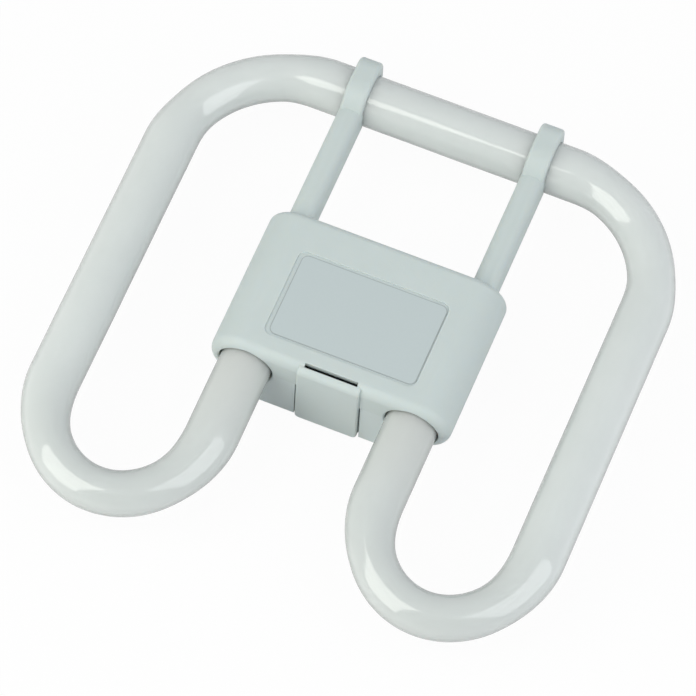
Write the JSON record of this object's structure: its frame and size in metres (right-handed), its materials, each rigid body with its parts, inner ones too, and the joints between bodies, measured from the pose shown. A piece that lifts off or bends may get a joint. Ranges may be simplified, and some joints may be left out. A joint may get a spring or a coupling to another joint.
{
  "type": "square compact fluorescent lamp",
  "caption": "Flat square compact fluorescent lamp: a glass tube bent in a double-D loop, held by a plastic cap with hooked arms, a latch tongue and pins in a rear well.",
  "frame": {"origin": "middle of the outline on the rear face of the cap, which the lamp lies on", "axes": "+Z out of the front face, +Y from the lower bends towards the far run that the hooks hold, +X across the legs"},
  "size_m": [0.205, 0.2064, 0.0351],
  "materials": {
    "tube_glass": "glossy glass, opaque white from the coating inside",
    "cap_plastic": "satin",
    "label_film": "matte film",
    "silicone": "matte",
    "pin_metal": "turned",
    "wire_metal": "drawn wire"
  },
  "bodies": {
    "root": {"discharge_tube": "tube_glass", "front_cover": "cap_plastic", "rear_base": "cap_plastic", "rating_label": "label_film", "tube_bond_left": "silicone", "tube_bond_right": "silicone", "contact_pin_1": "pin_metal", "contact_pin_2": "pin_metal", "contact_pin_3": "pin_metal", "contact_pin_4": "pin_metal", "lead_wire_1": "wire_metal", "lead_wire_2": "wire_metal", "lead_wire_3": "wire_metal", "lead_wire_4": "wire_metal"}
  },
  "joints": []
}
